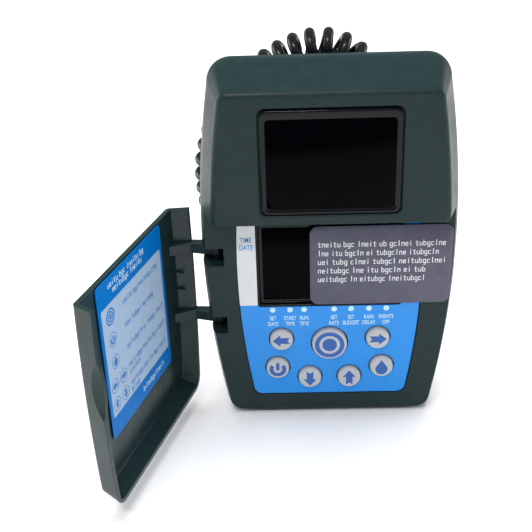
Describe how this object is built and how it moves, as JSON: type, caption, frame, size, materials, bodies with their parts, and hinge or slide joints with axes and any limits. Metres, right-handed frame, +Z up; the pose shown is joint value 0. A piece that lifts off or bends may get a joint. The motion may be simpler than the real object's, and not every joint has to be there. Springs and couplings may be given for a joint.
{
  "type": "irrigation controller",
  "caption": "Light-powered irrigation controller with a hinged cover standing open, a display, push buttons and a curly lead to its valve solenoid.",
  "frame": {"origin": "on the housing's flat bottom, which it stands on, midway across and 20 mm behind the flat ledge that the cover closes onto", "axes": "+X to the right seen from the front, +Y from the panel towards the back, +Z up"},
  "size_m": [0.1254, 0.1421, 0.1397],
  "materials": {
    "housing": "dark green-grey, fine moulded texture, half gloss",
    "cover_print": "printed label, satin",
    "rubber": "black, satin",
    "window": "black glossy window",
    "cell": "dark blue cell",
    "panel_print": "printed label, bright blue, satin",
    "display": "grey display glass",
    "film": "thin printed film, grey",
    "button": "light grey, satin, printed symbol",
    "switch": "black",
    "board": "green board",
    "capacitor": "blue sleeve",
    "steel": "plain bright steel",
    "solenoid": "black, satin",
    "lead": "black, glossy"
  },
  "bodies": {
    "housing": {"front_shell": "housing", "rear_shell": "housing", "housing_gasket": "rubber", "solar_window": "window", "solar_cell": "cell", "fascia_label": "panel_print", "lcd_lens": "window", "lcd_module": "display", "lcd_contact_strip": "rubber", "notice_film": "film", "switch_left": "switch", "switch_select": "switch", "switch_right": "switch", "switch_power": "switch", "switch_down": "switch", "switch_up": "switch", "switch_water": "switch", "button_mat": "rubber", "circuit_board": "board", "storage_capacitor": "capacitor", "hinge_pin_lower": "steel", "hinge_pin_upper": "steel", "screw_1": "steel", "screw_2": "steel", "screw_3": "steel", "screw_4": "steel", "solenoid_body": "solenoid", "valve_adapter": "solenoid", "adapter_o_ring": "rubber", "plunger_spring": "steel", "cable_gland": "rubber", "lead_tail_gland": "lead", "lead_coil": "lead", "lead_tail_solenoid": "lead", "solenoid_strain_relief": "rubber"},
    "cover": {"cover": "housing", "cover_label": "cover_print"},
    "left_button": {"button_left": "button"},
    "select_button": {"button_select": "button"},
    "right_button": {"button_right": "button"},
    "power_button": {"button_power": "button"},
    "down_button": {"button_down": "button"},
    "up_button": {"button_up": "button"},
    "water_button": {"button_water": "button"},
    "plunger": {"plunger": "steel"}
  },
  "joints": [
    {"name": "cover_hinge", "type": "hinge", "parent": "housing", "child": "cover", "pos_m": [-0.0413, -0.0116, 0.054], "axis": [0, 0, 1], "range_deg": [0, 106.5]},
    {"name": "left_press", "type": "slide", "parent": "housing", "child": "left_button", "axis": [0, 1, 0], "range_m": [0, 0.0008], "stiffness_N_per_m": 1200},
    {"name": "select_press", "type": "slide", "parent": "housing", "child": "select_button", "axis": [0, 1, 0], "range_m": [0, 0.0008], "stiffness_N_per_m": 1200},
    {"name": "right_press", "type": "slide", "parent": "housing", "child": "right_button", "axis": [0, 1, 0], "range_m": [0, 0.0008], "stiffness_N_per_m": 1200},
    {"name": "power_press", "type": "slide", "parent": "housing", "child": "power_button", "axis": [0, 1, 0], "range_m": [0, 0.0008], "stiffness_N_per_m": 1200},
    {"name": "down_press", "type": "slide", "parent": "housing", "child": "down_button", "axis": [0, 1, 0], "range_m": [0, 0.0008], "stiffness_N_per_m": 1200},
    {"name": "up_press", "type": "slide", "parent": "housing", "child": "up_button", "axis": [0, 1, 0], "range_m": [0, 0.0008], "stiffness_N_per_m": 1200},
    {"name": "water_press", "type": "slide", "parent": "housing", "child": "water_button", "axis": [0, 1, 0], "range_m": [0, 0.0008], "stiffness_N_per_m": 1200},
    {"name": "plunger_slide", "type": "slide", "parent": "housing", "child": "plunger", "axis": [0, -1, 0], "range_m": [0, 0.002], "stiffness_N_per_m": 800, "deforming": ["plunger_spring"]}
  ]
}
